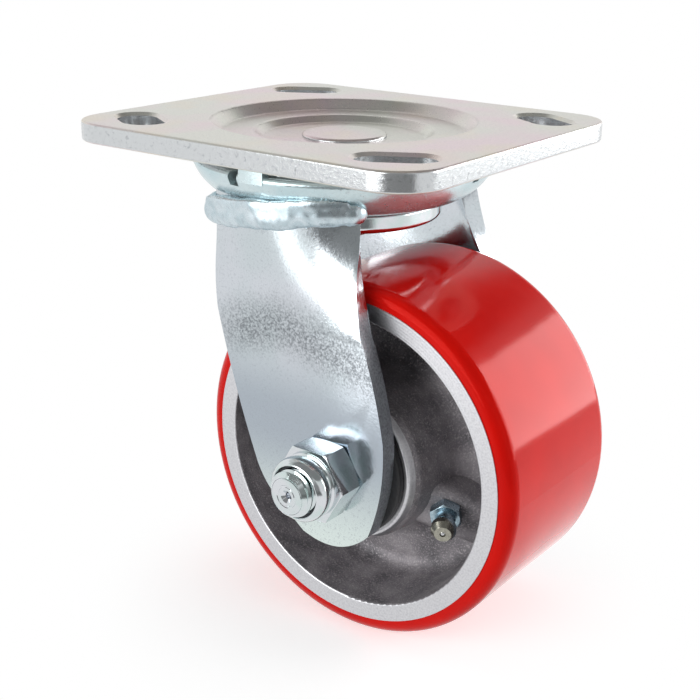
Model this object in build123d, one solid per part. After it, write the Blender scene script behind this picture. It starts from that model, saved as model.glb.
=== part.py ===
from build123d import *
import math
import os

# Swivel castor with a welded two-leg fork, a double ball race and a roller bearing wheel.
# Millimetres. The origin is where the swivel axis meets the top face of the plate.
# +Z is up, +X is the way the axle trails behind the swivel axis, -Y is the lock nut side.

os.makedirs("parts", exist_ok=True)

# ---------------------------------------------------------------- driving dimensions

INCH = 25.4
THROUGH = 200.0

# Top plate
PLATE_X = 4.5 * INCH
PLATE_Y = 4.0 * INCH
PLATE_THICK = 5.4
PLATE_CORNER_R = INCH / 2
PLATE_EDGE_R = 0.7
BOLT_OUTER = (3.625 * INCH / 2, 2.625 * INCH / 2)
BOLT_INNER = (3.0 * INCH / 2, 3.0 * INCH / 2)
SLOT_WIDTH = 7 / 16 * INCH
SLOT_RIM = 0.9

# Dish pressed into the middle of the plate
DISH_LIP_R = 36.5
DISH_FLOOR_R = 33.4
DISH_FLOOR_Z = -2.9
DISH_STEP_R = 23.6
DISH_STEP_Z = -4.7
DISH_LIP_ROUND = 1.4
DISH_STEP_FLARE = 2.2
BULGE_R = 38.2
BULGE_FLARE = 1.6
PRESS_R = 1.6

# Corners of every hexagon, turned back by a shallow cone
CORNER_TURN = 0.1
CORNER_CLEAR = 0.02
CORNER_SLOPE = 0.55

# King pin, its nut and the lower race
PIN_HEAD_R = 11.7
PIN_HEAD_RISE = 1.0
PIN_HEAD_ROUND = 0.9
PIN_BODY_R = 9.0
PIN_THREAD_R = 5 / 16 * INCH
PIN_END_Z = -31.4
PIN_END_ROUND = 1.0
PIN_NUT_AF = 22.2
PIN_NUT_H = 7.4
CUP_R = 27.4
CUP_TOP_Z = -21.0
CUP_BASE_Z = -25.9
CUP_THICK = 2.4
CUP_WALL = 2.1
CUP_ROUND = 1.9
CUP_LIP_ROUND = 0.6
CUP_HUB_R = 14.6
CUP_HUB_FLARE = 1.8
CUP_HUB_ROUND = 1.0
CUP_HUB_Z = -20.1

# Ball races
UPPER_BALL_R = 5 / 32 * INCH
UPPER_CIRCLE_R = 32.4
UPPER_BALL_Z = -10.4
UPPER_COUNT = 22
LOWER_BALL_R = 1 / 8 * INCH
LOWER_CIRCLE_R = 21.9
LOWER_BALL_Z = -20.1
LOWER_COUNT = 20
RACE_PLAY = 0.15

# Yoke base, a pressed bowl
BOWL_ARC_R = 15.0
BOWL_THICK = 3.7
BOWL_ARC_CENTRE = (27.6, -5.3)
BOWL_RIM_Z = -9.0
BOWL_BORE_R = 12.2
BOWL_CROWN_Z = -12.4
BOWL_CROWN_R = 28.4
BOWL_RIM_ROUND = 1.2
BOWL_CROWN_ROUND = 2.4
TRACK_ROUND = 2.6
TRACK_LIP_ROUND = 0.5
TRACK_SIDE_PLAY = 0.2
NOTCH_REACH = 12.0
NOTCH_ANGLES = (4.0, 84.0, 184.0, 264.0)
NOTCH_WIDTH = 3.2
NOTCH_DEPTH = 3.4
TAB_ANGLES = (92.6, 272.6)
TAB_SWEEP = 10.5
TAB_RISE = 2.3
TAB_ROOT = 2.0
TAB_SET_IN = 0.3
TAB_THICK = 2.6

# Fork legs
LEG_OUT_Y = 35.2
LEG_THICK = 5.0
LEG_CROWN_R = 38.0
LEG_TOP_Z = -16.0
LEG_FLAT_Z = -50.0
AXLE_X = 22.4
AXLE_Z = -87.3
LEG_FOOT_R = 20.6
FLAT_ENOUGH = 1e-6

# Curved part of a leg, from the weld down: (z, x of its back edge, x of its front edge)
LEG_STATIONS = (
    (-13.0, -16.8, 26.0), (-19.0, -16.6, 26.2), (-24.0, -16.4, 26.8), (-29.0, -16.4, 27.4),
    (-34.0, -16.7, 28.1), (-39.0, -16.8, 29.4), (-44.5, -16.5, 31.2), (LEG_FLAT_Z, -15.7, 33.3),
)
# Side view of its flat part: (x, z) down the back, up the front, and the foot about the axle
LEG_BACK = ((-15.7, LEG_FLAT_Z), (-14.4, -55.0), (-9.2, -72.3))
LEG_FRONT = ((35.8, -57.5), (33.3, LEG_FLAT_Z))
FOOT_BACK = ((-25.4, -2.0), (-22.6, -7.4), (-18.0, -12.4))
FOOT_SOLE = ((-8.6, -19.6), (3.6, -LEG_FOOT_R), (13.2, -14.6))
FOOT_FRONT = ((16.4, -4.0), (17.4, 13.0), (16.2, 19.0))

# Weld bead between the bowl and a leg, which rises towards the front
BEAD_START = -118.0
BEAD_END = -50.5
BEAD_MID_Z = -19.6
BEAD_LEAN = 6.2
BEAD_BACK_R = 35.5
BEAD_BROW_R = 40.7
BEAD_TOE_R = 38.0
BEAD_HALF_H = 4.0
BEAD_LUMPS = 13
LUMP_R = 4.6
LUMP_CIRCLE_R = 35.9

# Axle line
AXLE_R = INCH / 4
AXLE_FIT = 0.06
AXLE_TIP_Y = -52.8
AXLE_HEAD_AF = 3 / 4 * INCH
AXLE_HEAD_H = 8.2
AXLE_TIP_CHAMFER = 1.3
DRILL_R = 0.75
DRILL_DEPTH = 3.0
SINK_R = 1.9
SINK_DEPTH = 1.0
NUT_AF = 3 / 4 * INCH
NUT_HEX_H = 9.0
NUT_H = 14.4
NUT_COLLAR_R = 8.9
NUT_COLLAR_ROUND = 1.8
NUT_LIP = 1.2
NUT_MOUTH_GAP = 0.75
INSERT_R = 7.7
INSERT_BED = 0.4
SLEEVE_R = 9.5
WASHER_R = 19.4
WASHER_PLAY = 0.12
WASHER_CHAMFER = 0.4

# Wheel
WHEEL_R = 2.0 * INCH
TREAD_HALF_W = INCH
RIM_R = 46.4
RIM_FACE_Y = 25.9
RING_R = 41.4
HUB_R = 20.6
HUB_FACE_Y = 27.8
HUB_BORE_R = 15.6
WEB_HALF = 5.0
CONE_R = 22.3
CONE_Y = 24.0
HUB_ROOT_R = 23.6
WEB_OUT_R = 39.6
HUB_ROUND = 0.8
CONE_ROUND = 3.0
HUB_FILLET = 6.0
RIM_FILLET = 4.0
RIM_ROUND = 0.6
TREAD_SHOULDER_R = 3.2
TREAD_SET_IN = 0.3
TREAD_SIDE_STEP = 1.0

# Roller bearing
ROLLER_R = 3.0
ROLLER_COUNT = 9
ROLLER_HALF = 19.0
CAGE_HALF = 22.0
CAGE_IN_R = 10.0
CAGE_OUT_R = 15.1
CAGE_RING_PLAY = 0.2
CAGE_BAR = (2.4, 1.3)
ROLLER_CHAMFER = 0.3

# Grease nipple on its pad, aimed outwards and towards the lock nut side
NIPPLE_ANGLE = -24.0
NIPPLE_RADIUS = 27.5
NIPPLE_Y = -15.5
NIPPLE_TILT = 29.0
PAD_LENGTH = 34.0
PAD_WIDTH = 14.5
PAD_SHIFT = -1.0
PAD_OUT = 2.0
PAD_DEPTH = 20.0
PAD_ROUND = 3.0
PAD_FACE_CLEAR = 2.5
PAD_RIM_CLEAR = 0.4
SPOT_R = 5.3
SPOT_REACH = 10.0
NIPPLE_AF = 7.9
NIPPLE_HEX_H = 3.2
NIPPLE_LENGTH = 9.8
NIPPLE_HEAD_R = 3.4
NIPPLE_THREAD_R = 2.6
NIPPLE_THREAD_DEPTH = 3.9
THREAD_HOLE_DEPTH = 8.5
NIPPLE_NECK = ((2.9, 2.7), (2.4, 5.0), (NIPPLE_HEAD_R, 6.6), (NIPPLE_HEAD_R, 8.3))
NIPPLE_MOUTH_R = 2.3
NIPPLE_BORE_R = 0.8
NIPPLE_SEAT_R = 1.15
NIPPLE_BALL_R = 1.05
PASSAGE_R = 1.2
PASSAGE_DEPTH = 27.5

# ---------------------------------------------------------------- shared helpers

AXLE_AXIS = Axis((AXLE_X, 0, AXLE_Z), (0, 1, 0))


def save(shape, node):
    """Write one sub-part under its own name."""
    export_step(shape, f"parts/{node}.step")


def turned(points, rounds=()):
    """Revolve an (r, z) outline about the swivel axis. rounds lists (r, z, radius)."""
    face = make_face(Plane.XZ * Polyline(*points, close=True))
    for r, z, radius in rounds:
        corner = face.vertices().sort_by_distance(Vector(r, 0, z))[0]
        face = fillet(corner, radius)
    return revolve(face, Axis.Z, 360)


def wheel_turned(points, rounds=()):
    """Revolve an (r, y) outline about the axle. rounds lists (r, y, radius)."""
    plane = Plane(origin=(AXLE_X, 0, AXLE_Z), x_dir=(1, 0, 0), z_dir=(0, 0, 1))
    face = make_face(plane * Polyline(*points, close=True))
    for r, y, radius in rounds:
        corner = face.vertices().sort_by_distance(Vector(AXLE_X + r, y, AXLE_Z))[0]
        face = fillet(corner, radius)
    return revolve(face, AXLE_AXIS, 360)


def axle_rod(radius, y_from, y_to):
    """A round bar along the axle line between two stations."""
    length = y_to - y_from
    plane = Plane(origin=(AXLE_X, y_from, AXLE_Z), x_dir=(1, 0, 0), z_dir=(0, 1, 0))
    return extrude(plane * Circle(radius), length)


def hex_prism(plane, across_flats, height):
    """A hexagon bar with its corners turned back at both ends."""
    corner_r = across_flats / math.sqrt(3)
    bar = extrude(plane * RegularPolygon(across_flats / 2, 6, major_radius=False), height)
    turned_back = corner_r - across_flats / 2 + CORNER_TURN
    blank = Cylinder(corner_r + CORNER_CLEAR, height, align=(Align.CENTER, Align.CENTER, Align.MIN))
    blank = chamfer(blank.edges().filter_by(GeomType.CIRCLE), turned_back * CORNER_SLOPE, turned_back)
    return bar & (plane.location * blank)


def ball_ring(count, circle_r, ball_r, z):
    """Separate balls spaced evenly round the swivel axis."""
    return Compound([Pos(*at) * Sphere(ball_r) for at in ring_points(count, circle_r, z)])


def ring_points(count, radius, z):
    """Points spaced evenly round the swivel axis at one height."""
    turns = [2 * math.pi * i / count for i in range(count)]
    return [(radius * math.cos(t), radius * math.sin(t), z) for t in turns]


# ---------------------------------------------------------------- top plate


def top_plate():
    """Pressed steel plate with a stepped dish, a matching bulge below and four slots."""
    blank = extrude(RectangleRounded(PLATE_X, PLATE_Y, PLATE_CORNER_R), -PLATE_THICK)
    blank = fillet(blank.faces().filter_by(Axis.Z).edges(), PLATE_EDGE_R)
    floor_z = DISH_FLOOR_Z - PLATE_THICK
    step_z = DISH_STEP_Z - PLATE_THICK
    mid_z = -PLATE_THICK / 4
    step_in = DISH_STEP_R - DISH_STEP_FLARE / 2
    step_out = DISH_STEP_R + DISH_STEP_FLARE / 2
    bulge_r = BULGE_R - BULGE_FLARE
    bulge = turned(
        [
            (0, mid_z), (BULGE_R, mid_z), (BULGE_R, -PLATE_THICK), (bulge_r, floor_z),
            (step_out, floor_z), (step_in, step_z), (0, step_z),
        ],
        [(bulge_r, floor_z, PRESS_R), (step_in, step_z, PRESS_R)],
    )
    dish = turned(
        [
            (0, PLATE_THICK), (DISH_LIP_R, PLATE_THICK), (DISH_LIP_R, 0), (DISH_FLOOR_R, DISH_FLOOR_Z),
            (step_out, DISH_FLOOR_Z), (step_in, DISH_STEP_Z), (0, DISH_STEP_Z),
        ],
        [
            (DISH_FLOOR_R, DISH_FLOOR_Z, PRESS_R), (step_out, DISH_FLOOR_Z, PRESS_R),
            (step_in, DISH_STEP_Z, PRESS_R),
        ],
    )
    plate = blank + bulge - dish
    lip = plate.edges().filter_by(GeomType.CIRCLE).group_by(SortBy.RADIUS)
    lip = [edges for edges in lip if math.isclose(edges[0].radius, DISH_LIP_R)][0].sort_by(Axis.Z)[-1]
    plate = fillet(lip, DISH_LIP_ROUND)
    plate -= turned_groove(UPPER_CIRCLE_R, UPPER_BALL_Z, UPPER_BALL_R + RACE_PLAY)
    plate -= Cylinder(PIN_BODY_R, THROUGH)
    for sign_x in (-1, 1):
        for sign_y in (-1, 1):
            plate -= bolt_slot(sign_x, sign_y)
    return plate


def turned_groove(circle_r, z, radius):
    """A ring of round section, used to press a ball track."""
    return Pos(0, 0, z) * Torus(circle_r, radius)


def bolt_slot(sign_x, sign_y):
    """A slot that reaches both standard bolt positions in one corner."""
    dx = BOLT_OUTER[0] - BOLT_INNER[0]
    dy = BOLT_OUTER[1] - BOLT_INNER[1]
    middle_x = sign_x * (BOLT_OUTER[0] + BOLT_INNER[0]) / 2
    middle_y = sign_y * (BOLT_OUTER[1] + BOLT_INNER[1]) / 2
    turn = math.degrees(math.atan2(dy * sign_y, dx * sign_x))
    outline = SlotCenterToCenter(math.hypot(dx, dy), SLOT_WIDTH, rotation=turn)
    slot = extrude(outline, THROUGH / 2, both=True)
    rim = extrude(offset(outline, SLOT_RIM), SLOT_RIM)
    rim += Pos(0, 0, -SLOT_RIM) * extrude(outline, SLOT_RIM, taper=-45)
    return Pos(middle_x, middle_y, 0) * (slot + rim)


# ---------------------------------------------------------------- king pin group


def kingpin():
    """Round-headed king pin: the head beds in the dish and the shoulder clamps the lower race."""
    head_z = DISH_STEP_Z + PIN_HEAD_RISE
    pin = turned(
        [
            (0, head_z), (PIN_HEAD_R, head_z), (PIN_HEAD_R, DISH_STEP_Z), (PIN_BODY_R, DISH_STEP_Z),
            (PIN_BODY_R, CUP_HUB_Z), (PIN_THREAD_R, CUP_HUB_Z), (PIN_THREAD_R, PIN_END_Z), (0, PIN_END_Z),
        ],
        [(PIN_HEAD_R, head_z, PIN_HEAD_ROUND), (PIN_THREAD_R, PIN_END_Z, PIN_END_ROUND)],
    )
    return pin


def kingpin_nut():
    """Low hexagon nut that holds the lower race up on the king pin."""
    top_z = CUP_HUB_Z - CUP_THICK
    plane = Plane(origin=(0, 0, top_z - PIN_NUT_H), z_dir=(0, 0, 1))
    return hex_prism(plane, PIN_NUT_AF, PIN_NUT_H) - Cylinder(PIN_THREAD_R, THROUGH)


def lower_race_cup():
    """Pressed cup that carries the lower balls."""
    floor_z = CUP_BASE_Z + CUP_THICK
    under_z = CUP_HUB_Z - CUP_THICK
    inner_r = CUP_R - CUP_WALL
    foot_r = CUP_HUB_R + CUP_HUB_FLARE
    cup = turned(
        [
            (PIN_THREAD_R, CUP_HUB_Z), (CUP_HUB_R, CUP_HUB_Z), (foot_r, floor_z), (inner_r, floor_z),
            (inner_r, CUP_TOP_Z), (CUP_R, CUP_TOP_Z), (CUP_R, CUP_BASE_Z),
            (foot_r - CUP_HUB_ROUND, CUP_BASE_Z), (CUP_HUB_R - CUP_HUB_ROUND, under_z),
            (PIN_THREAD_R, under_z),
        ],
        [
            (CUP_R, CUP_BASE_Z, CUP_ROUND), (CUP_R, CUP_TOP_Z, CUP_LIP_ROUND),
            (CUP_HUB_R, CUP_HUB_Z, CUP_HUB_ROUND),
        ],
    )
    return cup - turned_groove(LOWER_CIRCLE_R, LOWER_BALL_Z, LOWER_BALL_R + RACE_PLAY)


# ---------------------------------------------------------------- yoke base


def bowl_point(radius, angle):
    """A point on an arc about the bowl's bend centre, angle below the horizontal."""
    turn = math.radians(angle)
    return (BOWL_ARC_CENTRE[0] + radius * math.cos(turn), BOWL_ARC_CENTRE[1] - radius * math.sin(turn))


def rim_angle(radius):
    """Angle below the horizontal at which an arc of the bowl meets the rim."""
    return math.degrees(math.asin((BOWL_ARC_CENTRE[1] - BOWL_RIM_Z) / radius))


def yoke_base():
    """Pressed bowl with a raised crown inside, tracks for both ball sets and a notched rim."""
    out_r = BOWL_ARC_R
    in_r = BOWL_ARC_R - BOWL_THICK
    base_z = BOWL_ARC_CENTRE[1] - out_r
    floor_z = BOWL_ARC_CENTRE[1] - in_r
    ceiling_z = LOWER_BALL_Z + LOWER_BALL_R + RACE_PLAY
    recess_r = LOWER_CIRCLE_R + LOWER_BALL_R + RACE_PLAY + TRACK_SIDE_PLAY
    out_start = rim_angle(out_r)
    in_start = rim_angle(in_r)
    flat = Plane.XZ
    outline = [
        ThreePointArc(bowl_point(out_r, out_start), bowl_point(out_r, 45), bowl_point(out_r, 90)),
        Polyline(
            bowl_point(out_r, 90), (recess_r, base_z), (recess_r, ceiling_z), (BOWL_BORE_R, ceiling_z),
            (BOWL_BORE_R, BOWL_CROWN_Z), (BOWL_CROWN_R, BOWL_CROWN_Z), (BOWL_CROWN_R, floor_z),
            bowl_point(in_r, 90),
        ),
        ThreePointArc(bowl_point(in_r, 90), bowl_point(in_r, 45), bowl_point(in_r, in_start)),
        Line(bowl_point(in_r, in_start), bowl_point(out_r, out_start)),
    ]
    face = make_face(flat * Curve(outline))
    for r, z, radius in (
        (recess_r, ceiling_z, TRACK_ROUND), (BOWL_CROWN_R, BOWL_CROWN_Z, BOWL_CROWN_ROUND),
        (*bowl_point(out_r, out_start), BOWL_RIM_ROUND), (recess_r, base_z, TRACK_LIP_ROUND),
    ):
        face = fillet(face.vertices().sort_by_distance(Vector(r, 0, z))[0], radius)
    base = revolve(face, Axis.Z, 360)
    rim_r = bowl_point(out_r, out_start)[0]
    for angle in NOTCH_ANGLES:
        base -= Rot(0, 0, angle) * Pos(rim_r, 0, BOWL_RIM_Z) * Box(NOTCH_REACH, NOTCH_WIDTH, 2 * NOTCH_DEPTH)
    for angle in TAB_ANGLES:
        base += rim_tab(angle)
    return base


def rim_tab(angle):
    """An upstanding tab on the rim that follows its curve."""
    rim_out = bowl_point(BOWL_ARC_R, rim_angle(BOWL_ARC_R))[0]
    outside = rim_out - TAB_SET_IN
    outline = Polyline(
        (outside - TAB_THICK, BOWL_RIM_Z - TAB_ROOT), (outside, BOWL_RIM_Z - TAB_ROOT),
        (outside, BOWL_RIM_Z + TAB_RISE), (outside - TAB_THICK, BOWL_RIM_Z + TAB_RISE), close=True,
    )
    tab = revolve(make_face(Plane.XZ * outline), Axis.Z, TAB_SWEEP)
    return Rot(0, 0, angle - TAB_SWEEP / 2) * tab


def bowl_envelope():
    """The space that the yoke base's outer surface closes off, for trimming what is welded to it."""
    rim = bowl_point(BOWL_ARC_R, -30)
    outline = [
        ThreePointArc(rim, bowl_point(BOWL_ARC_R, 30), bowl_point(BOWL_ARC_R, 90)),
        Polyline(bowl_point(BOWL_ARC_R, 90), (0, bowl_point(BOWL_ARC_R, 90)[1]), (0, rim[1]), rim),
    ]
    return revolve(make_face(Plane.XZ * Curve(outline)), Axis.Z, 360)


# ---------------------------------------------------------------- legs and welds


def blend(z):
    """0 at the curved top of a leg, 1 where it has become flat, with no kink at either end."""
    t = min(max((LEG_TOP_Z - z) / (LEG_TOP_Z - LEG_FLAT_Z), 0), 1)
    return t * t * (3 - 2 * t)


def leg_section(z, left, right):
    """Section of the near leg at one height: an arc band, flatter on the way down, with square edges."""
    share = blend(z)
    bend = (1 - share) / LEG_CROWN_R
    apex = LEG_CROWN_R + (LEG_OUT_Y - LEG_CROWN_R) * share

    def out_y(x):
        if bend < FLAT_ENOUGH:
            return apex
        return apex - (1 / bend - math.sqrt(1 / bend**2 - x * x))

    def in_y(x):
        if bend < FLAT_ENOUGH:
            return apex - LEG_THICK
        inner = 1 / bend - LEG_THICK
        side = x * inner * bend
        return apex - LEG_THICK - (inner - math.sqrt(inner**2 - side * side))

    def inner_x(x):
        return x if bend < FLAT_ENOUGH else x * (1 - LEG_THICK * bend)

    middle = (left + right) / 2
    plane = Plane(origin=(0, 0, z), x_dir=(1, 0, 0), z_dir=(0, 0, 1))
    outside = [(x, -out_y(x)) for x in (left, middle, right)]
    inside = [(inner_x(x), -in_y(x)) for x in (right, middle, left)]
    if bend < FLAT_ENOUGH:
        rim = [Line(outside[0], outside[2]), Line(inside[0], inside[2])]
    else:
        rim = [ThreePointArc(*outside), ThreePointArc(*inside)]
    rim += [Line(outside[2], inside[0]), Line(inside[2], outside[0])]
    return plane * make_face(Curve(rim))


def about_axle(points):
    """Points given from the axle, in the part's own x and z."""
    return [(AXLE_X + x, AXLE_Z + z) for x, z in points]


def leg_outline():
    """Side view of a leg's flat part, which leans to a rounded foot about the axle."""
    back = about_axle(FOOT_BACK)
    sole = about_axle(FOOT_SOLE)
    front = about_axle(FOOT_FRONT)
    edges = [
        Spline(*LEG_BACK, back[0]), Spline(*back), Line(back[-1], sole[0]), Spline(*sole),
        Spline(sole[-1], *front[:2]), Spline(*front[1:], *LEG_FRONT),
        Line(LEG_FRONT[-1], LEG_BACK[0]),
    ]
    return make_face(Plane.XZ.offset(LEG_OUT_Y - LEG_THICK) * Curve(edges))


def near_leg():
    """Left fork leg, on the lock nut side."""
    curved = loft([leg_section(*station) for station in LEG_STATIONS])
    leg = curved + extrude(leg_outline(), LEG_THICK)
    return leg - bowl_envelope() - axle_rod(AXLE_R + AXLE_FIT, -THROUGH, 0)


def weld_bead(leg):
    """Fillet weld that slopes from the bowl down to a leg, with the ripples of a hand-run bead."""
    outline = Polyline(
        (BEAD_BACK_R, BEAD_HALF_H), (BEAD_BROW_R, BEAD_HALF_H), (BEAD_BROW_R, BEAD_HALF_H / 2),
        (BEAD_TOE_R, -BEAD_HALF_H), (BEAD_BACK_R, -BEAD_HALF_H), close=True,
    )
    section = make_face(Plane.XZ * outline)
    brow = section.vertices().sort_by_distance(Vector(BEAD_BROW_R, 0, BEAD_HALF_H / 2))[0]
    section = fillet(brow, BEAD_HALF_H / 2)
    bead = Rot(0, 0, BEAD_START) * revolve(section, Axis.Z, BEAD_END - BEAD_START)
    for i in range(BEAD_LUMPS):
        turn = math.radians(BEAD_START + (BEAD_END - BEAD_START) * i / (BEAD_LUMPS - 1))
        bead += Pos(LUMP_CIRCLE_R * math.cos(turn), LUMP_CIRCLE_R * math.sin(turn), 0) * Sphere(LUMP_R)
    bead -= Cylinder(BEAD_BACK_R, 4 * BEAD_HALF_H)
    bead = Pos(0, 0, BEAD_MID_Z) * Rot(0, -BEAD_LEAN, 0) * bead
    return bead - bowl_envelope() - leg


def mirrored(shape):
    """The same piece on the other side of the fork."""
    return mirror(shape, Plane.XZ)


# ---------------------------------------------------------------- axle line


def axle_bolt():
    """Hexagon bolt with its head outside the far leg and a centre-drilled, chamfered tip."""
    shank = axle_rod(AXLE_R, AXLE_TIP_Y, LEG_OUT_Y)
    tip = shank.faces().sort_by(Axis.Y)[0].edges()
    shank = chamfer(tip, AXLE_TIP_CHAMFER)
    seat = Plane(origin=(AXLE_X, LEG_OUT_Y, AXLE_Z), x_dir=(1, 0, 0), z_dir=(0, 1, 0))
    head = hex_prism(seat, AXLE_HEAD_AF, AXLE_HEAD_H)
    drill = axle_rod(DRILL_R, AXLE_TIP_Y, AXLE_TIP_Y + DRILL_DEPTH)
    sink_plane = Plane(origin=(AXLE_X, AXLE_TIP_Y, AXLE_Z), x_dir=(1, 0, 0), z_dir=(0, 1, 0))
    centred = (Align.CENTER, Align.CENTER, Align.MIN)
    sink = sink_plane.location * Cone(SINK_R, DRILL_R, SINK_DEPTH, align=centred)
    return shank + head - drill - sink


def lock_nut():
    """Prevailing-torque nut: a hexagon with a rolled collar that holds the insert."""
    seat = Plane(origin=(AXLE_X, -LEG_OUT_Y, AXLE_Z), x_dir=(1, 0, 0), z_dir=(0, -1, 0))
    body = hex_prism(seat, NUT_AF, NUT_HEX_H)
    start = -LEG_OUT_Y - NUT_HEX_H
    end = -LEG_OUT_Y - NUT_H
    collar = wheel_turned(
        [
            (0, start + INSERT_BED), (NUT_COLLAR_R, start + INSERT_BED), (NUT_COLLAR_R, end), (0, end),
        ],
        [(NUT_COLLAR_R, end, NUT_COLLAR_ROUND)],
    )
    pocket = axle_rod(INSERT_R, end + NUT_LIP, start + INSERT_BED)
    mouth = axle_rod(AXLE_R + NUT_MOUTH_GAP, end, end + NUT_LIP)
    return body + collar - pocket - mouth - axle_rod(AXLE_R, -THROUGH, 0)


def nut_insert():
    """Nylon ring held in the collar of the lock nut."""
    start = -LEG_OUT_Y - NUT_HEX_H
    end = -LEG_OUT_Y - NUT_H
    return axle_rod(INSERT_R, end + NUT_LIP, start + INSERT_BED) - axle_rod(AXLE_R, -THROUGH, 0)


def axle_sleeve():
    """Steel spanner bush clamped between the legs: the inner track of the roller bearing."""
    half = LEG_OUT_Y - LEG_THICK
    return axle_rod(SLEEVE_R, -half, half) - axle_rod(AXLE_R + AXLE_FIT, -THROUGH, THROUGH)


def thrust_washer(side):
    """Thick black washer between the hub face and a leg."""
    low = HUB_FACE_Y + WASHER_PLAY
    high = LEG_OUT_Y - LEG_THICK
    ends = (low, high) if side > 0 else (-high, -low)
    ring = axle_rod(WASHER_R, *ends) - axle_rod(SLEEVE_R, -THROUGH, THROUGH)
    rims = ring.edges().filter_by(GeomType.CIRCLE).filter_by(lambda e: e.radius > SLEEVE_R + WASHER_CHAMFER)
    return chamfer(rims, WASHER_CHAMFER)


# ---------------------------------------------------------------- roller bearing

ROLLER_CIRCLE_R = (SLEEVE_R + HUB_BORE_R) / 2


def bearing_rollers():
    """Plain rollers round the sleeve."""
    rollers = []
    for i in range(ROLLER_COUNT):
        roller = Rot(90, 0, 0) * Cylinder(ROLLER_R, 2 * ROLLER_HALF)
        roller = chamfer(roller.edges().filter_by(GeomType.CIRCLE), ROLLER_CHAMFER)
        turn = Rot(0, 360 * i / ROLLER_COUNT, 0)
        rollers.append(Pos(AXLE_X, 0, AXLE_Z) * turn * Pos(ROLLER_CIRCLE_R, 0, 0) * roller)
    return Compound(rollers)


def roller_cage():
    """Cage that keeps the rollers apart: two end rings joined by a bar between each pair."""
    window = ROLLER_HALF + CAGE_RING_PLAY
    cage = axle_rod(CAGE_OUT_R, -CAGE_HALF, CAGE_HALF) - axle_rod(CAGE_OUT_R, -window, window)
    cage -= axle_rod(CAGE_IN_R, -THROUGH, THROUGH)
    for i in range(ROLLER_COUNT):
        turn = 360 * (i + 0.5) / ROLLER_COUNT
        bar = Pos(ROLLER_CIRCLE_R, 0, 0) * Box(CAGE_BAR[0], 2 * window + CAGE_RING_PLAY, CAGE_BAR[1])
        cage += Pos(AXLE_X, 0, AXLE_Z) * Rot(0, turn, 0) * bar
    return cage


# ---------------------------------------------------------------- wheel


def nipple_plane():
    """Seat of the grease nipple: normal along the nipple, local x outwards along the wheel's radius."""
    turn = math.radians(NIPPLE_ANGLE)
    tilt = math.radians(NIPPLE_TILT)
    radial = Vector(math.cos(turn), 0, math.sin(turn))
    origin = Vector(AXLE_X, NIPPLE_Y, AXLE_Z) + radial * NIPPLE_RADIUS
    out = radial * math.sin(tilt) + Vector(0, -1, 0) * math.cos(tilt)
    along = radial * math.cos(tilt) - Vector(0, -1, 0) * math.sin(tilt)
    return Plane(origin=origin, x_dir=along, z_dir=out)


def core_outline():
    """(r, y) outline of the cast core: hub, flared cone, thin web, drafted rim."""
    half = [
        (HUB_BORE_R, HUB_FACE_Y), (HUB_R, HUB_FACE_Y), (CONE_R, CONE_Y), (HUB_ROOT_R, WEB_HALF),
        (WEB_OUT_R, WEB_HALF), (RING_R, RIM_FACE_Y), (RIM_R, RIM_FACE_Y),
    ]
    return half + [(r, -y) for r, y in reversed(half)]


def wheel_core():
    """Cast iron wheel centre with a drilled pad for the grease nipple."""
    rounds = []
    for side in (-1, 1):
        rounds += [
            (HUB_R, side * HUB_FACE_Y, HUB_ROUND), (CONE_R, side * CONE_Y, CONE_ROUND),
            (HUB_ROOT_R, side * WEB_HALF, HUB_FILLET), (WEB_OUT_R, side * WEB_HALF, RIM_FILLET),
            (RING_R, side * RIM_FACE_Y, RIM_ROUND),
        ]
    core = wheel_turned(core_outline(), rounds)
    seat = nipple_plane()
    pad = Pos(PAD_OUT, PAD_SHIFT, -PAD_DEPTH / 2) * Box(PAD_LENGTH, PAD_WIDTH, PAD_DEPTH)
    pad = fillet(pad.edges().filter_by(Axis.X).sort_by(Axis.Z)[-2:], PAD_ROUND)
    room = axle_rod(RING_R - PAD_RIM_CLEAR, PAD_FACE_CLEAR - RIM_FACE_Y, WEB_HALF)
    core += (seat.location * pad) & room
    core -= axle_rod(HUB_BORE_R, -THROUGH, THROUGH)
    for radius, low, high in (
        (SPOT_R, 0, SPOT_REACH), (NIPPLE_THREAD_R, -THREAD_HOLE_DEPTH, SPOT_REACH),
        (PASSAGE_R, -PASSAGE_DEPTH, 0),
    ):
        core -= seat.location * (Pos(0, 0, (low + high) / 2) * Cylinder(radius, high - low))
    return core


def tread():
    """Polyurethane tread cast on the rim, with rounded shoulders."""
    side = RIM_FACE_Y - TREAD_SET_IN
    step_r = RIM_R + TREAD_SIDE_STEP
    return wheel_turned(
        [
            (RIM_R, -side), (step_r, -side), (WHEEL_R, -TREAD_HALF_W), (WHEEL_R, TREAD_HALF_W),
            (step_r, side), (RIM_R, side),
        ],
        [(WHEEL_R, -TREAD_HALF_W, TREAD_SHOULDER_R), (WHEEL_R, TREAD_HALF_W, TREAD_SHOULDER_R)],
    )


def grease_nipple():
    """Hexagon grease nipple with a necked, round head and a through bore."""
    seat = nipple_plane()
    body = hex_prism(Plane.XY, NIPPLE_AF, NIPPLE_HEX_H)
    body += turned([
        (0, -NIPPLE_THREAD_DEPTH), (NIPPLE_THREAD_R, -NIPPLE_THREAD_DEPTH),
        (NIPPLE_THREAD_R, NIPPLE_NECK[0][1]), *NIPPLE_NECK,
        (NIPPLE_MOUTH_R, NIPPLE_LENGTH), (0, NIPPLE_LENGTH),
    ])
    body -= Cylinder(NIPPLE_BORE_R, THROUGH)
    body -= Pos(0, 0, NIPPLE_LENGTH - NIPPLE_BALL_R) * Sphere(NIPPLE_SEAT_R)
    return seat.location * body


def nipple_ball():
    """Spring-loaded ball that closes the mouth of the grease nipple."""
    return nipple_plane().location * (Pos(0, 0, NIPPLE_LENGTH - NIPPLE_BALL_R) * Sphere(NIPPLE_BALL_R))


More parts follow.
